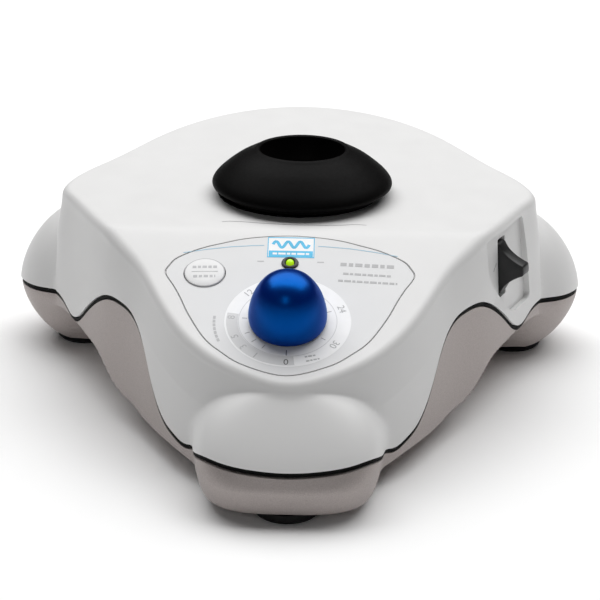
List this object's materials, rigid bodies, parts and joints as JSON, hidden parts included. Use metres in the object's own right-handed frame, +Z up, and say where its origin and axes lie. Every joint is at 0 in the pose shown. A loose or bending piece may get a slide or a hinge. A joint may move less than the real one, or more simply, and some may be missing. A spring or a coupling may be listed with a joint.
{
  "type": "vortex mixer",
  "caption": "Bench vortex mixer with a rubber cup on an orbiting head, a sloping panel with speed dial, mode key and lamp, a side switch and three-toed cast base.",
  "frame": {"origin": "centre of the bounding box, at the height of the foot bottoms", "axes": "+X to the right seen from the front, +Y from the control panel to the rear inlet, +Z up"},
  "size_m": [0.181, 0.2092, 0.0715],
  "materials": {
    "shell_paint": "satin, fine texture",
    "base_metal": "speckled warm grey paint",
    "seal_rubber": "matte",
    "foot_rubber": "matte",
    "label_film": "satin printed film",
    "key_plastic": "satin",
    "bezel_plastic": "satin",
    "lens_plastic": "gloss",
    "knob_plastic": "satin",
    "bare_steel": "machined",
    "spring_steel": "bright wire",
    "motor_steel": "satin",
    "board_green": "solder mask",
    "part_black": "moulded",
    "paddle_plastic": "satin",
    "inlet_plastic": "satin",
    "pin_brass": "plated",
    "cup_rubber": "satin",
    "carrier_metal": "machined"
  },
  "bodies": {
    "housing": {"upper_shell": "shell_paint", "base_casting": "base_metal", "parting_seal": "seal_rubber", "foot_front": "foot_rubber", "foot_left": "foot_rubber", "foot_right": "foot_rubber", "foot_rear": "foot_rubber", "control_label": "label_film", "rating_plate": "label_film", "led_bezel": "bezel_plastic", "led_lens": "lens_plastic", "lamp_socket": "bezel_plastic", "potentiometer": "part_black", "pot_nut": "bare_steel", "control_board": "board_green", "mode_switch_body": "part_black", "switch_body": "part_black", "power_inlet": "inlet_plastic", "inlet_pin_1": "pin_brass", "inlet_pin_2": "pin_brass", "inlet_pin_3": "pin_brass", "pillar_1": "bare_steel", "pillar_2": "bare_steel", "pillar_3": "bare_steel", "press_spring_1": "spring_steel", "press_spring_2": "spring_steel", "press_spring_3": "spring_steel", "case_screw_1": "bare_steel", "case_screw_2": "bare_steel", "case_screw_3": "bare_steel", "case_screw_4": "bare_steel", "neck_seal": "cup_rubber", "touch_switch": "part_black", "touch_stand": "part_black", "supply_board": "board_green", "supply_capacitor": "part_black", "supply_transformer": "part_black", "standoff_1": "part_black", "standoff_2": "part_black", "standoff_3": "part_black", "standoff_4": "part_black"},
    "press_stage": {"motor_can": "motor_steel", "motor_bracket": "bare_steel", "touch_plunger": "part_black"},
    "rotor": {"motor_shaft": "bare_steel", "crank": "bare_steel", "counterweight": "bare_steel"},
    "head": {"crank_bearing": "bare_steel", "cup_carrier": "carrier_metal", "rubber_cup": "cup_rubber"},
    "speed_dial": {"speed_knob": "knob_plastic", "pot_shaft": "bare_steel"},
    "key": {"mode_key": "key_plastic"},
    "side_switch": {"switch_paddle": "paddle_plastic"}
  },
  "joints": [
    {"name": "head_press", "type": "slide", "parent": "housing", "child": "press_stage", "axis": [0, 0, -1], "range_m": [0, 0.0008], "stiffness_N_per_m": 12000, "springref_m": -0.0009, "deforming": ["press_spring_1", "press_spring_2", "press_spring_3"]},
    {"name": "motor_spin", "type": "hinge", "parent": "press_stage", "child": "rotor", "pos_m": [0, 0.00439, 0.046], "axis": [0, 0, 1], "continuous": true},
    {"name": "cup_hold", "type": "hinge", "parent": "rotor", "child": "head", "pos_m": [0.00113, 0.00245, 0.052], "axis": [0, 0, 1], "continuous": true},
    {"name": "dial_turn", "type": "hinge", "parent": "housing", "child": "speed_dial", "pos_m": [-0.001, -0.06555, 0.04286], "axis": [0, -0.3746, 0.9272], "range_deg": [-304, 0]},
    {"name": "key_press", "type": "slide", "parent": "housing", "child": "key", "axis": [0, 0.3746, -0.9272], "range_m": [0, 0.0005], "stiffness_N_per_m": 1500, "springref_m": -0.0005},
    {"name": "switch_rock", "type": "hinge", "parent": "housing", "child": "side_switch", "pos_m": [0.05797, -0.01675, 0.04139], "axis": [0.4541, 0.8909, 0], "range_deg": [-11, 11]}
  ],
  "couplings": [
    {"joint": "cup_hold", "follows": "motor_spin", "ratio": -1}
  ]
}
